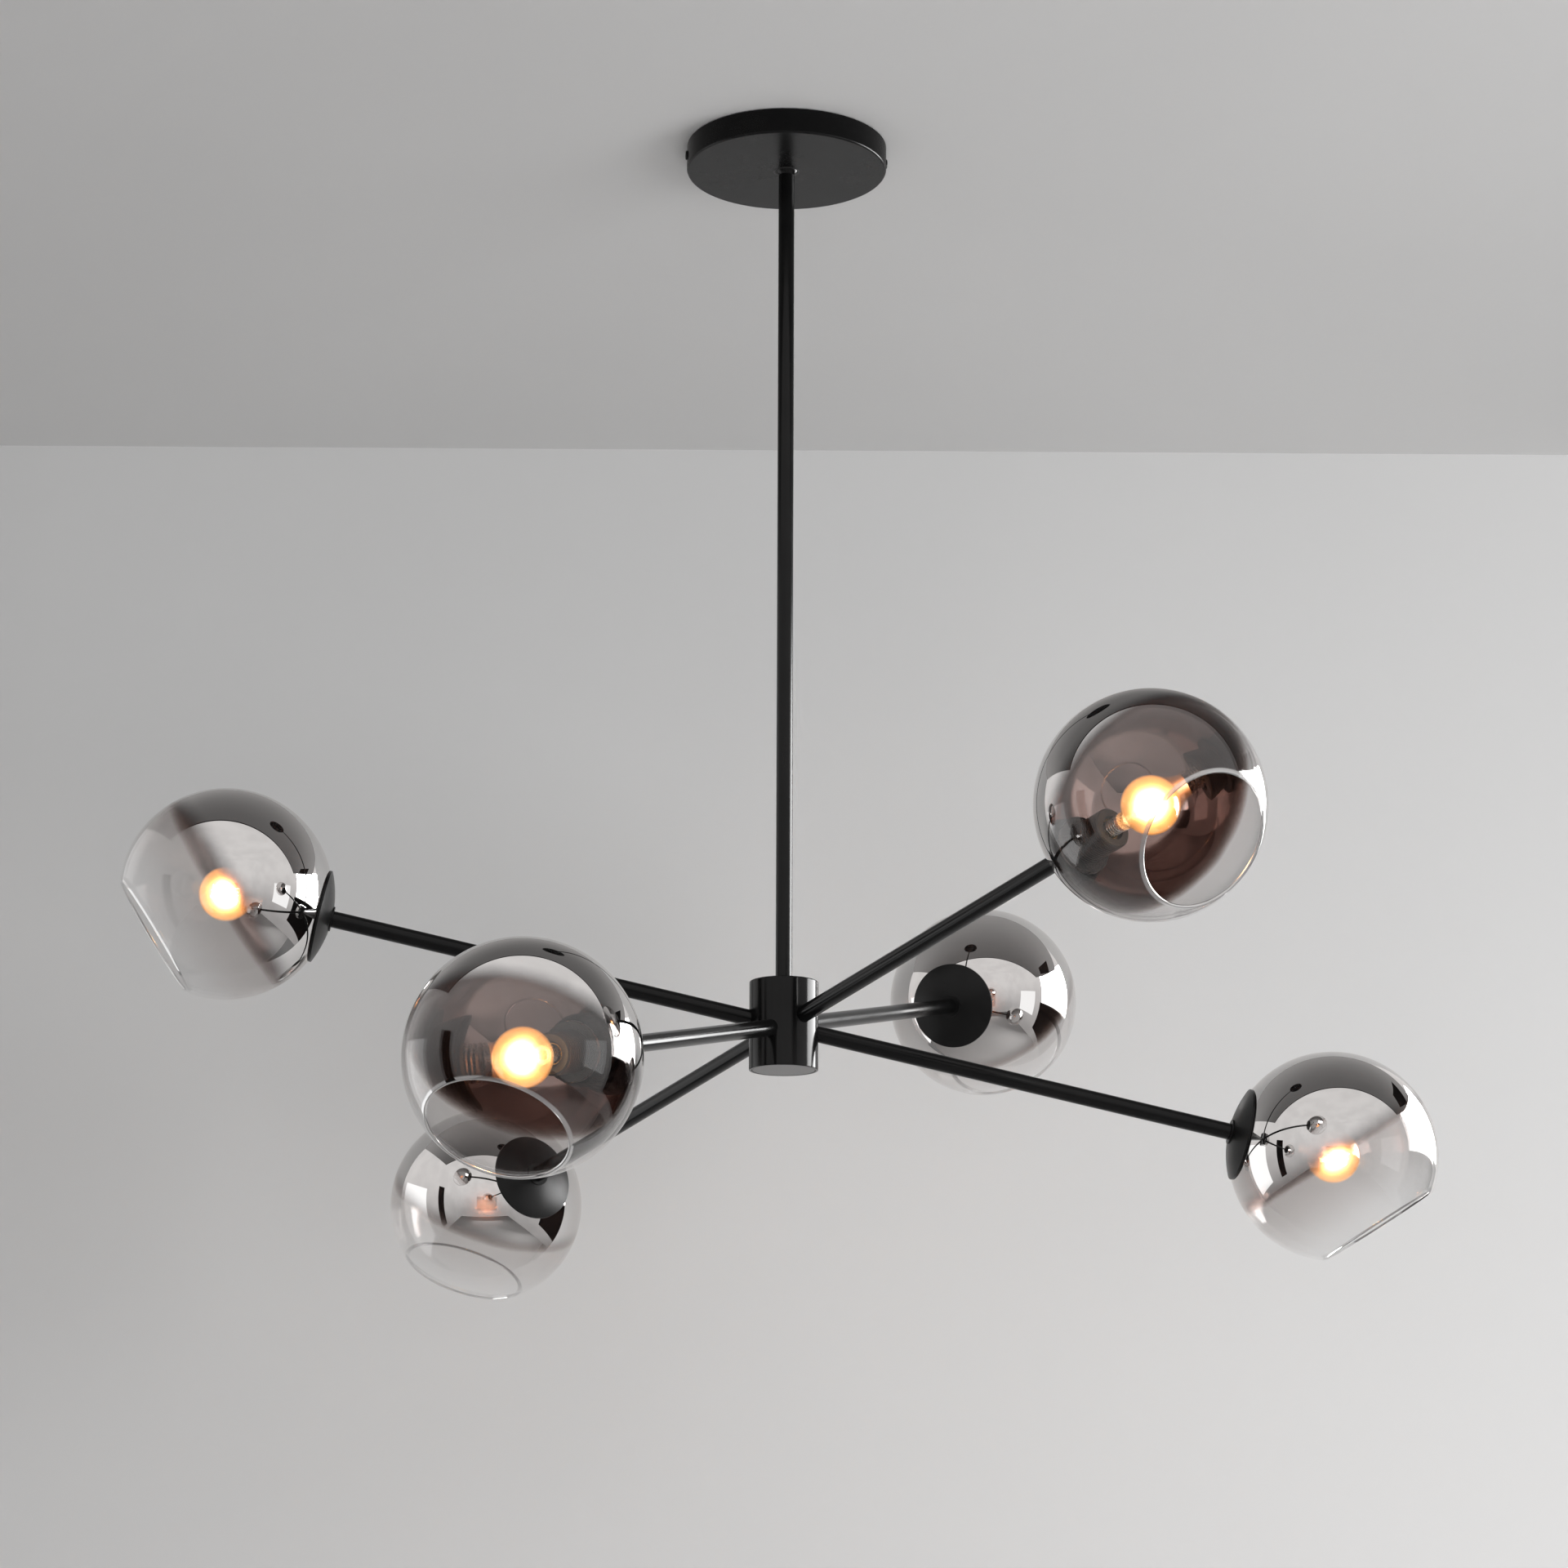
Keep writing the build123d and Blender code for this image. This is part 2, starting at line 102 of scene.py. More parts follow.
# ------------------------------------------------------------------ node helpers
class Tree:
    """A material's node tree, with short calls for the nodes used here."""

    def __init__(self, name):
        self.mat = bpy.data.materials.new(name)
        self.mat.use_nodes = True
        self.nt = self.mat.node_tree
        self.nt.nodes.clear()
        self.out = self.nt.nodes.new("ShaderNodeOutputMaterial")

    def node(self, kind, **attrs):
        n = self.nt.nodes.new("ShaderNode" + kind)
        for k, v in attrs.items():
            setattr(n, k, v)
        return n

    def put(self, socket, value):
        if isinstance(value, bpy.types.NodeSocket):
            self.nt.links.new(value, socket)
        elif isinstance(value, (tuple, list, Vector)) and socket.type == "RGBA":
            socket.default_value = (*value, 1.0) if len(value) == 3 else value
        else:
            socket.default_value = value

    def maths(self, op, a, b=0.0, c=0.0, clamp=False):
        n = self.node("Math", operation=op, use_clamp=clamp)
        for s, v in zip(n.inputs, (a, b, c)):
            self.put(s, v)
        return n.outputs[0]

    def vec(self, op, a, b=None, scale=None):
        n = self.node("VectorMath", operation=op)
        self.put(n.inputs[0], a)
        if b is not None:
            self.put(n.inputs[1], b)
        if scale is not None:
            self.put(n.inputs["Scale"], scale)
        return n.outputs["Value"] if op in ("DOT_PRODUCT", "LENGTH") else n.outputs[0]

    def ramp(self, x, a, b, to_a=0.0, to_b=1.0, smooth=True):
        n = self.node("MapRange", interpolation_type="SMOOTHSTEP" if smooth else "LINEAR")
        for s, v in zip(n.inputs, (x, a, b, to_a, to_b)):
            self.put(s, v)
        return n.outputs[0]

    def mix(self, f, a, b):
        n = self.node("Mix", data_type="RGBA")
        self.put(n.inputs["Factor"], f)
        sa, sb = (s for s in n.inputs if s.type == "RGBA")
        self.put(sa, a)
        self.put(sb, b)
        return next(s for s in n.outputs if s.type == "RGBA")

    def place(self):
        return self.node("TexCoord").outputs["Object"]

    def noise(self, scale, detail=2.0, rough=0.5, at=None, distortion=0.0):
        n = self.node("TexNoise")
        self.put(n.inputs["Vector"], self.place() if at is None else at)
        n.inputs["Scale"].default_value = scale
        n.inputs["Detail"].default_value = detail
        n.inputs["Roughness"].default_value = rough
        n.inputs["Distortion"].default_value = distortion
        return n.outputs[0]

    def bump(self, height, distance, strength=1.0, normal=None):
        n = self.node("Bump")
        n.inputs["Strength"].default_value = strength
        n.inputs["Distance"].default_value = distance
        self.put(n.inputs["Height"], height)
        if normal is not None:
            self.put(n.inputs["Normal"], normal)
        return n.outputs[0]

    def principled(self, **values):
        n = self.node("BsdfPrincipled")
        for k, v in values.items():
            self.put(n.inputs[k.replace("_", " ")], v)
        self.nt.links.new(n.outputs[0], self.out.inputs[0])
        return n

    def shade_mix(self, f, a, b):
        n = self.node("MixShader")
        self.put(n.inputs[0], f)
        self.put(n.inputs[1], a)
        self.put(n.inputs[2], b)
        return n.outputs[0]

    def add(self, a, b):
        n = self.node("AddShader")
        self.put(n.inputs[0], a)
        self.put(n.inputs[1], b)
        return n.outputs[0]

    def clear(self, colour):
        n = self.node("BsdfTransparent")
        self.put(n.inputs[0], colour)
        return n.outputs[0]

    def glossy(self, colour, roughness, normal=None):
        n = self.node("BsdfAnisotropic")
        self.put(n.inputs["Color"], colour)
        self.put(n.inputs["Roughness"], roughness)
        if normal is not None:
            self.put(n.inputs["Normal"], normal)
        return n.outputs[0]

    def emit(self, colour, strength):
        n = self.node("Emission")
        self.put(n.inputs[0], colour)
        self.put(n.inputs[1], strength)
        return n.outputs[0]

    def schlick(self, f0=0.04, normal=None):
        """A clear surface's mirror share, the same from its two sides."""
        n = self.node("LayerWeight")
        n.inputs["Blend"].default_value = 0.5
        if normal is not None:
            self.put(n.inputs["Normal"], normal)
        p = self.maths("POWER", n.outputs["Facing"], 5.0)
        return self.maths("MULTIPLY_ADD", p, 1.0 - f0, f0)

    def edge(self, radius):
        """1 on the sharp edges of a piece, where its paint is thin and rubbed, 0 on its faces."""
        b = self.node("Bevel", samples=4)
        b.inputs["Radius"].default_value = radius
        g = self.node("NewGeometry")
        d = self.vec("DOT_PRODUCT", b.outputs[0], g.outputs["Normal"])
        return self.ramp(d, 0.999, 0.93)

    def surface(self, shader):
        self.nt.links.new(shader, self.out.inputs[0])
        return self.mat


def dress(names, material):
    for n in [names] if isinstance(names, str) else names:
        o = NODES[n]
        if len(o.material_slots) == 0:
            o.data.materials.append(material)
        for s in o.material_slots:
            s.link = "OBJECT"
            s.material = material


# ------------------------------------------------------------------ materials
def black_paint(name, low, high, peel=0.05, grain=0.0, edges=0.0007, shine=0.20):
    """Semi-gloss black powder coat: orange peel, faint cloudy gloss, thin rubbed edges, a little dust."""
    t = Tree(name)
    cloud = t.noise(18, 4, 0.6)
    fine = t.noise(1400, 2, 0.6)
    peel_h = t.noise(420, 2, 0.45)
    worn = t.edge(edges) if edges else 0.0
    scuff = t.noise(260, 3, 0.7)
    wear = t.maths("MULTIPLY", worn, t.ramp(scuff, 0.46, 0.68)) if edges else 0.0
    base = t.mix(t.ramp(cloud, 0.3, 0.7), (0.0030, 0.0031, 0.0033), (0.0056, 0.0055, 0.0055))
    if edges:
        base = t.mix(t.maths("MULTIPLY", wear, 0.55), base, (0.040, 0.038, 0.037))
    rough = t.ramp(t.maths("MULTIPLY_ADD", fine, 0.35, t.maths("MULTIPLY", cloud, 0.65)), 0.25, 0.75, low, high)
    if edges:
        rough = t.maths("MULTIPLY_ADD", wear, 0.12, rough)
    height = t.maths("MULTIPLY_ADD", fine, grain, peel_h)
    t.principled(
        Base_Color=base,
        Roughness=rough,
        Specular_IOR_Level=shine,
        Normal=t.bump(height, 0.0004, peel),
    )
    return t.mat


def metal(name, dark, light, low, high, scale=300, brushed=None, threads=None, edges=0.0004):
    """Plated or plain metal: tone, gloss and fine marks from noise, bright rubbed edges."""
    t = Tree(name)
    place = t.place()
    at = place
    if brushed is not None:
        n = t.node("Mapping")
        t.put(n.inputs["Vector"], place)
        n.inputs["Scale"].default_value = brushed
        at = n.outputs[0]
    marks = t.noise(scale, 4, 0.65, at=at)
    cloud = t.noise(90, 3, 0.5)
    tone = t.mix(t.ramp(cloud, 0.25, 0.75), dark, light)
    if edges:
        tone = t.mix(t.maths("MULTIPLY", t.edge(edges), 0.5), tone, [min(1.0, c * 1.25) for c in light])
    normal = t.bump(marks, 0.0002, 0.12)
    t.principled(
        Base_Color=tone,
        Metallic=1.0,
        Roughness=t.ramp(marks, 0.3, 0.7, low, high),
        Normal=normal,
    )
    return t.mat


def helix(t, centre, u, n, side, pitch):
    """A height of 0 to 1 that winds round a part's own axis once a pitch."""
    v = t.vec("SUBTRACT", t.place(), centre)
    along = t.vec("DOT_PRODUCT", v, u)
    turn = t.maths("ARCTAN2", t.vec("DOT_PRODUCT", v, side), t.vec("DOT_PRODUCT", v, n))
    phase = t.maths("MULTIPLY_ADD", along, 2 * math.pi / pitch, turn)
    return t.maths("MULTIPLY_ADD", t.maths("SINE", phase), 0.5, 0.5), along


def glass_material(i):
    """Blown glass, mirrored on the half behind the bulb. The coat thins out to nothing before the mouth."""
    centre, u, n, side, m = ARMS[i]
    t = Tree(f"mirrored_glass_{i}")
    v = t.vec("SUBTRACT", t.place(), centre)
    radius = t.vec("LENGTH", v)
    s = t.maths("DIVIDE", t.vec("DOT_PRODUCT", v, m), GLOBE_R)
    uneven = t.noise(26, 3, 0.55)
    s2 = t.maths("MULTIPLY_ADD", t.maths("SUBTRACT", uneven, 0.5), 0.05, s)
    outer = t.maths("GREATER_THAN", radius, 0.07492)
    coat = t.ramp(s2, -0.17, 0.09, 1.0, 0.0)
    veil = t.ramp(s2, 0.0, 0.80, 0.07, 0.0)
    film = t.maths("MULTIPLY", t.maths("MAXIMUM", coat, veil), outer)
    waves = t.bump(t.noise(20, 1, 0.4), 0.0006, 0.06)
    f = t.schlick(0.04, waves)
    mirror = t.maths("MULTIPLY_ADD", t.maths("SUBTRACT", 1.0, f), t.maths("MULTIPLY", film, 0.64), f)
    lip = t.ramp(s, 0.764, 0.774)
    share = t.maths("MULTIPLY_ADD", lip, 0.42, mirror, clamp=True)
    haze = t.ramp(t.noise(140, 4, 0.7), 0.35, 0.8, 0.0, 0.02)
    dense = t.node("CombineColor")
    for k, v in enumerate((0.060, 0.040, 0.034)):
        t.put(dense.inputs[k], t.maths("POWER", v, film))
    through = dense.outputs[0]
    through = t.mix(t.maths("MULTIPLY", lip, 0.8), through, (0.42, 0.41, 0.41))
    # from inside, the coat's image is seen through a brown stain, so both ways through it tint the light
    stain = t.maths("MULTIPLY", coat, t.maths("SUBTRACT", 1.0, outer))
    through = t.mix(stain, through, (0.66, 0.545, 0.515))
    back = t.mix(film, (1.0, 1.0, 1.0), (0.97, 0.955, 0.945))
    return t.surface(t.shade_mix(share, t.clear(through), t.glossy(back, haze, waves)))


def bulb_glass_material(i):
    """Clear bulb glass, lit from inside: white hot through its middle, amber where it is seen edge on."""
    t = Tree(f"bulb_glass_{i}")
    ripple = t.bump(t.noise(60, 2, 0.5), 0.0004, 0.15)
    f = t.schlick(0.04, ripple)
    w = t.node("LayerWeight")
    w.inputs["Blend"].default_value = 0.5
    front = t.maths("SUBTRACT", 1.0, w.outputs["Facing"])
    core = t.maths("POWER", front, 11.0)
    centre, u, n, side, m = ARMS[i]
    along = t.vec("DOT_PRODUCT", t.vec("SUBTRACT", t.place(), centre), u)
    body = t.ramp(along, -0.0225, -0.012)
    hue = t.mix(core, (1.0, 0.44, 0.13), (1.0, 0.78, 0.48))
    power = t.maths("MULTIPLY_ADD", core, 11.0, t.maths("MULTIPLY_ADD", front, 0.45, 0.12))
    power = t.maths("MULTIPLY", power, t.ramp(body, 0.0, 1.0, 0.35, 1.0))
    power = t.maths("MULTIPLY", power, t.ramp(t.noise(70, 2, 0.5), 0.25, 0.75, 0.8, 1.2))
    glow = t.emit(hue, power)
    glass = t.shade_mix(f, t.clear((0.90, 0.86, 0.80)), t.glossy((1, 1, 1), t.ramp(t.noise(300, 2), 0.3, 0.8, 0.0, 0.03), ripple))
    return t.surface(t.add(glass, glow))


paint_canopy = black_paint("black_paint_canopy", 0.22, 0.30, 0.06, 0.3)
paint_tube = black_paint("black_paint_tube", 0.15, 0.22, 0.05, 0.2, edges=0)
paint_hub = black_paint("black_paint_hub", 0.12, 0.17, 0.02, 0.1)
paint_cup = black_paint("black_paint_cup", 0.26, 0.36, 0.07, 0.4)
nickel = metal("nickel_plate", (0.50, 0.485, 0.46), (0.66, 0.64, 0.61), 0.16, 0.30, 500)
steel = metal("zinc_plated_steel", (0.42, 0.43, 0.44), (0.60, 0.61, 0.61), 0.28, 0.46, 350)
brass = metal("brass", (0.50, 0.34, 0.13), (0.70, 0.50, 0.22), 0.18, 0.34, 500)

dress("canopy", paint_canopy)
dress(["stem_upper", "stem_lower"] + [f"arm_{i}" for i in range(1, 7)], paint_tube)
dress(["hub", "hub_cap", "swivel_ball"], paint_hub)
dress([f"shade_cup_{i}" for i in range(1, 7)], paint_cup)
dress(["canopy_screws"], black_paint("black_screws", 0.2, 0.3, 0.04, edges=0.0003))
dress(["crossbar"], steel)
dress(["stem_nut", "arm_nuts"], metal("plated_nuts", (0.42, 0.42, 0.42), (0.62, 0.61, 0.59), 0.25, 0.42, 420, edges=0.0005))
dress(["stem_nipples", "arm_nipples"], metal("plated_nipples", (0.45, 0.43, 0.38), (0.62, 0.59, 0.52), 0.28, 0.45, 600))
dress(["screw_shells", "socket_contacts"], brass)


def phenolic(i):
    """Black moulded plastic of the lampholder: dull, with a coarse thread for the ring down its skirt."""
    centre, u, n, side, m = ARMS[i]
    t = Tree(f"phenolic_{i}")
    h, along = helix(t, centre, u, n, side, 0.0021)
    skirt = t.maths("MULTIPLY", t.ramp(along, -0.0745, -0.0735), t.ramp(along, -0.0400, -0.0410))
    speck = t.noise(900, 3, 0.6)
    cloud = t.noise(60, 3, 0.6)
    height = t.maths("MULTIPLY_ADD", t.maths("MULTIPLY", h, skirt), 1.0, t.maths("MULTIPLY", speck, 0.10))
    t.principled(
        Base_Color=t.mix(t.ramp(cloud, 0.3, 0.7), (0.010, 0.0095, 0.0095), (0.024, 0.021, 0.020)),
        Roughness=t.ramp(speck, 0.3, 0.7, 0.34, 0.52),
        Normal=t.bump(height, 0.0006, 0.8),
    )
    return t.mat


def ring_material():
    t = Tree("shade_rings_plastic")
    speck = t.noise(900, 3, 0.6)
    cloud = t.noise(80, 3, 0.6)
    worn = t.maths("MULTIPLY", t.edge(0.0004), t.ramp(t.noise(300, 3, 0.7), 0.4, 0.7))
    base = t.mix(t.ramp(cloud, 0.3, 0.7), (0.010, 0.0098, 0.0098), (0.022, 0.021, 0.020))
    t.principled(
        Base_Color=t.mix(t.maths("MULTIPLY", worn, 0.5), base, (0.07, 0.07, 0.07)),
        Roughness=t.ramp(speck, 0.3, 0.7, 0.26, 0.42),
        Normal=t.bump(speck, 0.0002, 0.25),
    )
    return t.mat


def base_material(i):
    """Nickel screw base of a bulb, its thread rolled in."""
    centre, u, n, side, m = ARMS[i]
    t = Tree(f"bulb_base_{i}")
    h, along = helix(t, centre, u, n, side, 0.0021)
    shell = t.maths("MULTIPLY", t.ramp(along, -0.0500, -0.0490), t.ramp(along, -0.0300, -0.0310))
    marks = t.noise(500, 4, 0.6)
    tip = t.ramp(along, -0.0508, -0.0502)
    tone = t.mix(t.ramp(t.noise(120, 3), 0.3, 0.7), (0.52, 0.50, 0.47), (0.70, 0.68, 0.64))
    tone = t.mix(tip, (0.30, 0.29, 0.30), tone)
    t.principled(
        Base_Color=tone,
        Metallic=t.ramp(tip, 0, 1, 0.6, 1.0),
        Roughness=t.ramp(marks, 0.3, 0.7, 0.16, 0.34),
        Normal=t.bump(t.maths("MULTIPLY_ADD", t.maths("MULTIPLY", h, shell), 1.0, t.maths("MULTIPLY", marks, 0.08)), 0.0006, 0.9),
    )
    return t.mat


def nylon():
    t = Tree("nylon_seat")
    cloud = t.noise(120, 3, 0.6)
    t.principled(
        Base_Color=t.mix(t.ramp(cloud, 0.3, 0.7), (0.012, 0.012, 0.012), (0.030, 0.029, 0.028)),
        Roughness=t.ramp(t.noise(700, 3), 0.3, 0.7, 0.38, 0.55),
        Normal=t.bump(t.noise(500, 2), 0.0003, 0.15),
    )
    return t.mat


def green_screw():
    t = Tree("green_ground_screw")
    chips = t.ramp(t.noise(500, 3, 0.7), 0.58, 0.66)
    t.principled(
        Base_Color=t.mix(chips, t.mix(t.noise(90, 2), (0.01, 0.14, 0.045), (0.02, 0.22, 0.08)), (0.55, 0.55, 0.53)),
        Metallic=t.ramp(chips, 0, 1, 0.55, 1.0),
        Roughness=t.ramp(t.noise(400, 3), 0.3, 0.7, 0.25, 0.45),
        Normal=t.bump(t.noise(600, 2), 0.0002, 0.2),
    )
    return t.mat


def wire_jacket():
    t = Tree("wire_jackets")
    place = t.node("NewGeometry")
    cloud = t.noise(25, 2)
    t.principled(
        Base_Color=t.mix(t.ramp(cloud, 0.45, 0.55), (0.012, 0.012, 0.012), (0.03, 0.029, 0.028)),
        Roughness=t.ramp(t.noise(800, 3), 0.3, 0.7, 0.35, 0.5),
        Normal=t.bump(t.noise(900, 2), 0.0002, 0.2),
    )
    return t.mat


def white_wire():
    t = Tree("splice_crimps_plastic")
    t.principled(
        Base_Color=t.mix(t.noise(200, 3), (0.55, 0.52, 0.45), (0.70, 0.68, 0.60)),
        Roughness=t.ramp(t.noise(500, 3), 0.3, 0.7, 0.35, 0.55),
        Normal=t.bump(t.noise(600, 2), 0.0003, 0.2),
    )
    return t.mat


dress("ball_seat", nylon())
dress("ground_screw", green_screw())
dress(["stem_wires", "arm_wires"], wire_jacket())
dress("splice_crimps", white_wire())
dress("shade_rings", ring_material())
for i in range(1, 7):
    dress(f"lampholder_{i}", phenolic(i))
    dress(f"bulb_base_{i}", base_material(i))
    dress(f"bulb_glass_{i}", bulb_glass_material(i))


# ------------------------------------------------------------------ mirrored globes, finer than the CAD's facets
def new_object(name, me):
    o = bpy.data.objects.new(name, me)
    scene.collection.objects.link(o)
    return o


def smooth(me, angle=40):
    me.polygons.foreach_set("use_smooth", [True] * len(me.polygons))
    me.set_sharp_from_angle(angle=math.radians(angle))


def revolve(name, profile, centre, axis, across, segments=160):
    """A closed profile of (radius, height) turned about axis through centre. A radius of 0 is a pole."""
    side = axis.cross(across)
    verts, rings = [], []
    for r, h in profile:
        if r < 1e-9:
            rings.append([len(verts)])
            verts.append(centre + axis * h)
            continue
        rings.append(list(range(len(verts), len(verts) + segments)))
        for k in range(segments):
            a = 2 * math.pi * k / segments
            verts.append(centre + axis * h + (across * math.cos(a) + side * math.sin(a)) * r)
    faces = []
    for a, b in zip(rings, rings[1:]):
        for k in range(segments):
            j = (k + 1) % segments
            if len(a) == 1:
                faces.append((a[0], b[j], b[k]))
            elif len(b) == 1:
                faces.append((a[k], a[j], b[0]))
            else:
                faces.append((a[k], a[j], b[j], b[k]))
    me = bpy.data.meshes.new(name)
    me.from_pydata([tuple(v) for v in verts], [], faces)
    me.validate()
    bm = bmesh.new()
    bm.from_mesh(me)
    bmesh.ops.recalc_face_normals(bm, faces=bm.faces)
    bm.to_mesh(me)
    bm.free()
    return me


def globe(i):
    centre, u, n, side, m = ARMS[i]
    rm = GLASS_T / 2
    mid = GLOBE_R - rm
    end = math.asin(MOUTH_R / mid)
    profile = []
    steps = 110
    for k in range(steps + 1):
        a = math.pi + (end - math.pi) * k / steps
        profile.append((max(0.0, GLOBE_R * math.sin(a)) if k else 0.0, GLOBE_R * math.cos(a)))
    lip = Vector((mid * math.sin(end), mid * math.cos(end)))
    radial = Vector((math.sin(end), math.cos(end)))
    along = Vector((-math.cos(end), math.sin(end)))
    for k in range(1, 12):
        a = math.pi * k / 12
        p = lip + rm * (radial * math.cos(a) + along * math.sin(a))
        profile.append((p.x, p.y))
    inner = GLOBE_R - GLASS_T
    for k in range(steps + 1):
        a = end + (math.pi - end) * k / steps
        profile.append((max(0.0, inner * math.sin(a)) if k < steps else 0.0, inner * math.cos(a)))
    o = new_object(f"globe_{i}", revolve(f"globe_{i}", profile, centre, m, n.cross(m).normalized(), 176))
    cutter = new_object("cutter", revolve("cutter", [(0, -0.09), (FITTER_R, -0.09), (FITTER_R, -0.05), (0, -0.05)], centre, u, n, 96))
    b = o.modifiers.new("fitter_hole", "BOOLEAN")
    b.operation, b.solver, b.object = "DIFFERENCE", "EXACT", cutter
    dg = bpy.context.evaluated_depsgraph_get()
    me = bpy.data.meshes.new_from_object(o.evaluated_get(dg))
    o.modifiers.clear()
    o.data = me
    bpy.data.objects.remove(cutter)
    me.materials.clear()
    me.materials.append(glass_material(i))
    smooth(me, 50)
    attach(o, f"shade_{i}")
    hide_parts(f"shade_glass_{i}")
    return o


for i in range(1, 7):
    globe(i)


# ------------------------------------------------------------------ filaments
def hot_wire():
    t = Tree("hot_filament")
    flicker = t.ramp(t.noise(400, 2), 0.3, 0.7, 0.75, 1.1)
    return t.surface(t.emit(t.mix(t.noise(250, 2), (1.0, 0.60, 0.26), (1.0, 0.76, 0.44)), t.maths("MULTIPLY", flicker, 60.0)))


def lead_glass():
    t = Tree("pinch_glass")
    f = t.schlick(0.05)
    tint = t.mix(t.noise(300, 2), (0.78, 0.74, 0.68), (0.88, 0.85, 0.80))
    return t.surface(t.shade_mix(t.maths("MULTIPLY_ADD", f, 0.9, 0.08), t.clear(tint), t.glossy((1, 0.97, 0.93), t.ramp(t.noise(500, 2), 0.3, 0.7, 0.03, 0.12))))


hot, pinch_glass = hot_wire(), lead_glass()
support = metal("support_wire", (0.40, 0.38, 0.35), (0.56, 0.53, 0.49), 0.25, 0.4, 800, edges=0)


def tube(name, lines, radius, material, centre, u, n, side, res=3):
    cu = bpy.data.curves.new(name, "CURVE")
    cu.dimensions = "3D"
    cu.bevel_depth = radius
    cu.bevel_resolution = res
    cu.use_fill_caps = True
    cu.resolution_u = 6
    for pts, cyclic in lines:
        sp = cu.splines.new("NURBS")
        sp.points.add(len(pts) - 1)
        for q, (x, y, z) in zip(sp.points, pts):
            w = centre + (n * x + side * y + u * z) * 0.001
            q.co = (*w, 1)
        sp.order_u = 3
        sp.use_endpoint_u = not cyclic
        sp.use_cyclic_u = cyclic
    tmp = bpy.data.objects.new("tmp", cu)
    scene.collection.objects.link(tmp)
    dg = bpy.context.evaluated_depsgraph_get()
    me = bpy.data.meshes.new_from_object(tmp.evaluated_get(dg))
    bpy.data.objects.remove(tmp)
    me.materials.clear()
    me.materials.append(material)
    o = new_object(name, me)
    smooth(me, 60)
    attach(o, "frame")
    return o


for i in range(1, 7):
    centre, u, n, side, m = ARMS[i]
    cage = []
    count, top, bottom, wide = 12, 10.5, -9.0, 5.6
    for k in range(count):
        a = 2 * math.pi * (k + 0.5) / count * 0.92
        z = top if k % 2 else bottom
        r = wide * (0.86 if k % 2 else 1.0)
        x, y = r * math.cos(a), r * math.sin(a)
        cage += [(x, y, z * 0.93), (x * 1.02, y * 1.02, z)]
    o = tube(f"filament_{i}", [(cage, False)], 0.00022, hot, centre, u, n, side)
    if i == 1:
        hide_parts("filaments")
    hooks = [([(0.5, 0, -15), (1.8, 0, -6), (0.6, 0, 6), (0.4, 0, 10.8)], False)]
    for k in range(count):
        a = 2 * math.pi * (k + 0.5) / count * 0.92
        z = top if k % 2 else bottom
        r = wide * (0.86 if k % 2 else 1.0)
        hooks.append(([(0.4 * math.cos(a), 0.4 * math.sin(a), z - 0.6), (r * 0.5 * math.cos(a), r * 0.5 * math.sin(a), z - 0.2), (r * math.cos(a), r * math.sin(a), z)], False))
    hooks.append(([(1.1, 0.3, -27), (1.6, 0.5, -18), (wide * 0.99, 0.7, -9.0)], False))
    hooks.append(([(-1.1, -0.3, -27), (-1.6, -0.5, -18), (wide * 0.9, -1.9, -9.0)], False))
    tube(f"filament_supports_{i}", hooks, 0.00013, support, centre, u, n, side, 2)
    stem = revolve(
        f"pinch_{i}",
        [(0, -0.0272), (0.0032, -0.0272), (0.0030, -0.0252), (0.0022, -0.0225), (0.0018, -0.0190), (0.0017, -0.0155), (0.0013, -0.0142), (0.0007, -0.0136), (0, -0.0134)],
        centre, u, n, 32,
    )
    stem.materials.append(pinch_glass)
    smooth(stem, 60)
    o = new_object(f"filament_pinch_{i}", stem)
    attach(o, "frame")


# ------------------------------------------------------------------ room and light (not part of the object)
def stage_material(name, colour, spread=0.03, one_sided=True):
    t = Tree(name)
    tone = t.mix(t.noise(0.9, 3, 0.5), [c * (1 - spread) for c in colour], [c * (1 + spread) for c in colour])
    n = t.node("BsdfDiffuse")
    t.put(n.inputs[0], tone)
    t.put(n.inputs["Normal"], t.bump(t.noise(60, 3), 0.002, 0.04))
    if not one_sided:
        return t.surface(n.outputs[0])
    g = t.node("NewGeometry")
    return t.surface(t.shade_mix(g.outputs["Backfacing"], n.outputs[0], t.clear((1, 1, 1))))


def panel(name, corners, material, camera=False, diffuse=True, glossy=True, shadow=True):
    """A flat panel through four corners of the room, seen from the side where they go anticlockwise."""
    me = bpy.data.meshes.new(name)
    me.from_pydata([tuple(room(*c)) for c in corners], [], [(0, 1, 2, 3)])
    me.materials.append(material)
    o = new_object(name, me)
    o.visible_camera = camera
    o.visible_diffuse = diffuse
    o.visible_glossy = glossy
    o.visible_shadow = shadow
    return o


def painted_light_sheet(name, axis, span, low, high, tint=(1.0, 0.975, 0.965)):
    """A sheet seen only in the glass, glowing with painted light for a wall's lit tone: painted darker at low and
    brighter at high along one way of the room.
    """
    t = Tree(name)
    way = {"x": (1, 0, 0), "y": (0, 1, 0), "z": (0, 0, 1)}[axis]
    start = room(*[c * span[0] for c in way])
    d = room(*way) - room(0, 0, 0)
    along = t.vec("DOT_PRODUCT", t.vec("SUBTRACT", t.place(), tuple(start)), tuple(d))
    # painted shade and light: the glow runs from low to high along the room
    tone = t.ramp(along, 0.0, span[1] - span[0], low, high)
    tone = t.maths("MULTIPLY", tone, t.ramp(t.noise(1.2, 3, 0.5), 0.3, 0.7, 0.95, 1.05))
    g = t.node("NewGeometry")
    return t.surface(t.shade_mix(g.outputs["Backfacing"], t.emit(tint, tone), t.clear((1, 1, 1))))


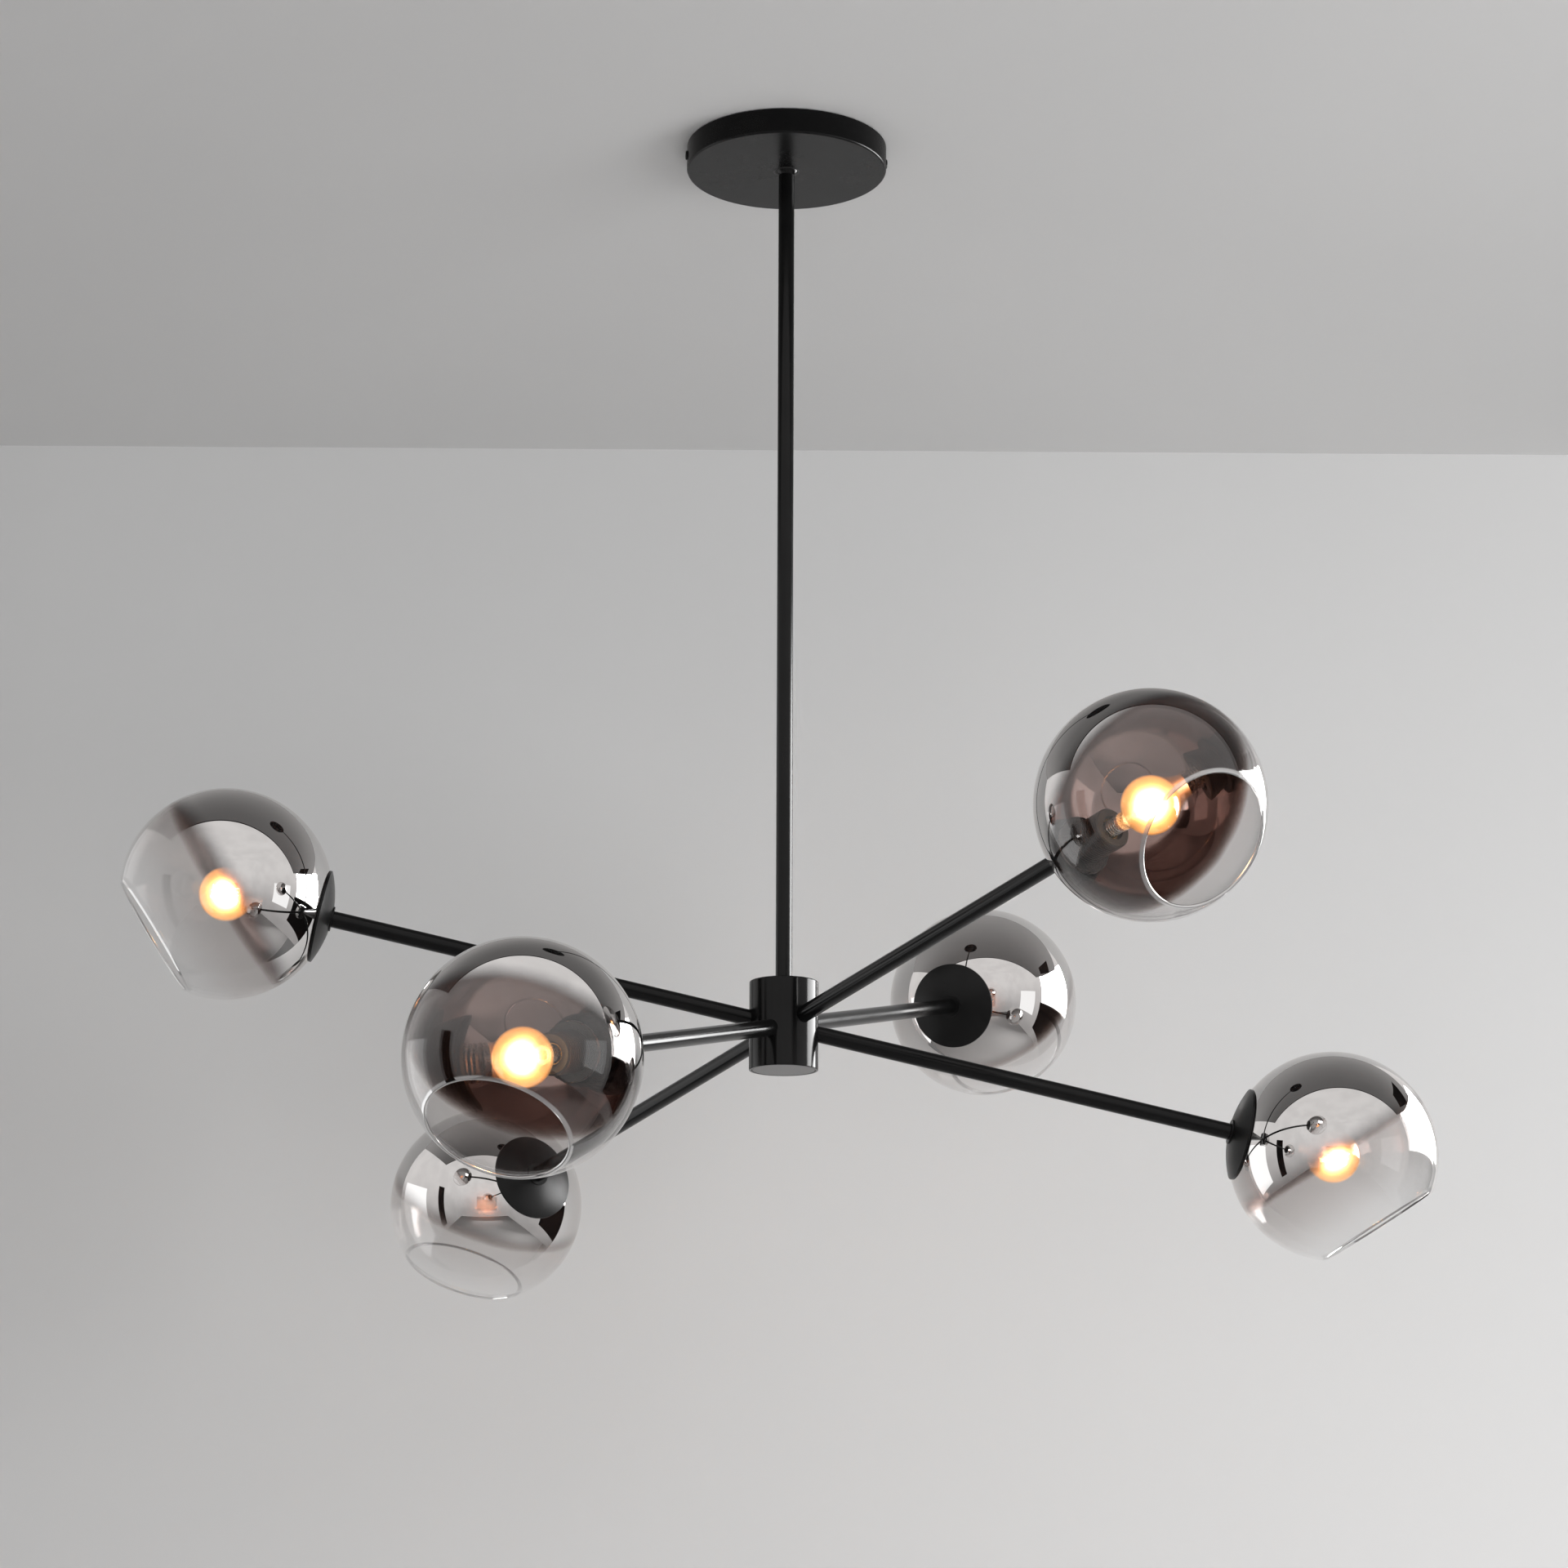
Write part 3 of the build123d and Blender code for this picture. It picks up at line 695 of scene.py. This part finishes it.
CEIL, FLOOR, HIGH = 0.6808, -1.92, 2.2
X0, X1, Y0, Y1 = -2.6, 2.6, -4.4, 0.72
wall = stage_material("wall_plaster", (0.75, 0.75, 0.75))
ceiling = stage_material("ceiling_plaster", (0.62, 0.62, 0.62))
studio = stage_material("studio_walls", (0.60, 0.60, 0.60))
floor = stage_material("floor_pale", (0.78, 0.765, 0.76))
panel("floor", [(X0, Y0, FLOOR), (X1, Y0, FLOOR), (X1, Y1, FLOOR), (X0, Y1, FLOOR)], floor, camera=True, shadow=False)
panel("ceiling", [(X0, Y1, CEIL), (X1, Y1, CEIL), (X1, Y0, CEIL), (X0, Y0, CEIL)], ceiling, camera=True, glossy=False, diffuse=False, shadow=False)
panel("wall_back", [(X0, Y1, FLOOR), (X1, Y1, FLOOR), (X1, Y1, CEIL), (X0, Y1, CEIL)], wall, camera=True, glossy=False, diffuse=False, shadow=False)
# what the glass mirrors: a set of one wall and a metre of ceiling, in a taller, plain room. The set's ceiling glows
# with painted light, painted darker toward the front as painted shade
panel("set_ceiling", [(-1.05, Y1, CEIL), (1.62, Y1, CEIL), (1.62, -0.26, CEIL), (-1.05, -0.26, CEIL)], painted_light_sheet("set_ceiling", "y", (-0.25, 0.72), 0.15, 0.36), diffuse=False, shadow=False)
panel("set_wall", [(-1.05, Y1, FLOOR), (0.80, Y1, FLOOR), (0.80, Y1, CEIL), (-1.05, Y1, CEIL)], wall, shadow=False)
panel("wall_front", [(X1, Y0, FLOOR), (X0, Y0, FLOOR), (X0, Y0, HIGH), (X1, Y0, HIGH)], wall, camera=True, glossy=False, shadow=False)
panel("wall_left", [(X0, Y0, FLOOR), (X0, 2.2, FLOOR), (X0, 2.2, HIGH), (X0, Y0, HIGH)], wall, camera=True, glossy=False, shadow=False)
panel("wall_right", [(X1, 2.2, FLOOR), (X1, Y0, FLOOR), (X1, Y0, HIGH), (X1, 2.2, HIGH)], wall, camera=True, glossy=False, shadow=False)
# painted light: the taller room's sheets glow, painted brighter toward the top
room_glow_painted = painted_light_sheet("room_painted_light", "z", (-1.92, 1.2), 0.46, 0.92)
panel("room_top", [(X0, 2.2, HIGH), (X1, 2.2, HIGH), (X1, Y0, HIGH), (X0, Y0, HIGH)], room_glow_painted, diffuse=False, shadow=False)
panel("room_back", [(X0, 2.2, FLOOR), (X1, 2.2, FLOOR), (X1, 2.2, HIGH), (X0, 2.2, HIGH)], room_glow_painted, diffuse=False, shadow=False)
panel("room_front", [(X1, Y0, FLOOR), (X0, Y0, FLOOR), (X0, Y0, HIGH), (X1, Y0, HIGH)], room_glow_painted, diffuse=False, shadow=False)
panel("room_left", [(X0, Y0, FLOOR), (X0, 2.2, FLOOR), (X0, 2.2, HIGH), (X0, Y0, HIGH)], room_glow_painted, diffuse=False, shadow=False)
panel("room_right", [(X1, 2.2, FLOOR), (X1, Y0, FLOOR), (X1, Y0, HIGH), (X1, 2.2, HIGH)], room_glow_painted, diffuse=False, shadow=False)


def light_sheet(name, strength, colour=(1, 1, 1)):
    t = Tree(name)
    g = t.node("NewGeometry")
    e = t.emit(colour, strength)
    return t.surface(t.shade_mix(g.outputs["Backfacing"], e, t.clear((1, 1, 1))))


# dark sheets: black cards, and painted shade laid on the ceiling
def flag_and_shade_sheet(name, colour):
    return stage_material(name, colour)


# the window-like softbox at the right, a second dimmer one, and one at the left: seen only in reflections
panel("softbox_right", [(1.22, 1.00, 0.0), (1.70, -0.12, 0.0), (1.70, -0.12, 0.72), (1.22, 1.00, 0.72)], light_sheet("softbox_right", 17.0), diffuse=False, shadow=False)
panel("softbox_right_low", [(1.72, -0.45, -0.50), (1.72, -1.30, -0.50), (1.72, -1.30, 0.28), (1.72, -0.45, 0.28)], light_sheet("softbox_right_low", 1.4), diffuse=False, shadow=False)
panel("softbox_left", [(-1.45, -0.10, -0.90), (-1.12, 0.62, -0.90), (-1.12, 0.62, 0.20), (-1.45, -0.10, 0.20)], light_sheet("softbox_left", 1.6), diffuse=False, shadow=False)
# black cards, and dark sheets of painted shade on the ceiling, all seen only in reflections
dark = flag_and_shade_sheet("black_cards_and_painted_shade", (0.012, 0.011, 0.011))
panel("card_right", [(1.20, 1.10, -0.85), (1.72, -0.20, -0.85), (1.72, -0.20, -0.02), (1.20, 1.10, -0.02)], dark, diffuse=False, shadow=False)
# painted shade: a dark patch on the ceiling, seen only in the glass
panel("ceiling_patch_painted_shade", [(1.02, 0.46, 0.674), (1.46, 0.40, 0.674), (1.46, 0.02, 0.674), (1.16, 0.10, 0.674)], dark, diffuse=False, shadow=False)
# painted shade: a dark line along the set ceiling's front edge, seen only in the glass
panel("ceiling_edge_painted_shade", [(-1.05, -0.246, 0.676), (1.62, -0.246, 0.676), (1.62, -0.262, 0.676), (-1.05, -0.262, 0.676)], dark, diffuse=False, shadow=False)
panel("card_left", [(-1.60, -0.95, -0.95), (-1.55, -0.62, -0.95), (-1.55, -0.62, 0.35), (-1.60, -0.95, 0.35)], dark, diffuse=False, shadow=False)
# painted light: a glowing sheet behind the camera, painted brighter toward the top, seen only in the glass
panel("painted_light_behind_camera", [(1.1, -4.2, -1.2), (-0.8, -4.2, -1.2), (-0.8, -4.2, 0.10), (1.1, -4.2, 0.10)], painted_light_sheet("behind_camera", "z", (-1.2, 0.1), 0.30, 0.42), diffuse=False, shadow=False)


def lamp(name, at, target, size, power, colour=(1, 1, 1), size_y=None):
    li = bpy.data.lights.new(name, "AREA")
    li.shape = "RECTANGLE"
    li.size, li.size_y = size, size_y or size
    li.energy = power
    li.color = colour
    o = new_object(name, li)
    o.location = room(*at)
    o.rotation_mode = "QUATERNION"
    o.rotation_quaternion = (room(*target) - room(*at)).to_track_quat("-Z", "Y")
    o.visible_glossy = False
    o.visible_camera = False
    return o


lamp("key_right", (2.2, -1.2, -0.25), (0.3, 0.7, -0.1), 1.5, 41)
lamp("fill_front", (0.2, -3.6, -1.0), (0, 0.7, -0.1), 2.4, 19)
lamp("bounce_low", (0.7, -0.35, -1.8), (0.5, 0.45, 0.68), 2.0, 15, (1.0, 0.985, 0.98))

world = bpy.data.worlds.new("world")
scene.world = world
world.use_nodes = True
world.node_tree.nodes["Background"].inputs[0].default_value = (0.9, 0.9, 0.9, 1)
world.node_tree.nodes["Background"].inputs[1].default_value = 0.25
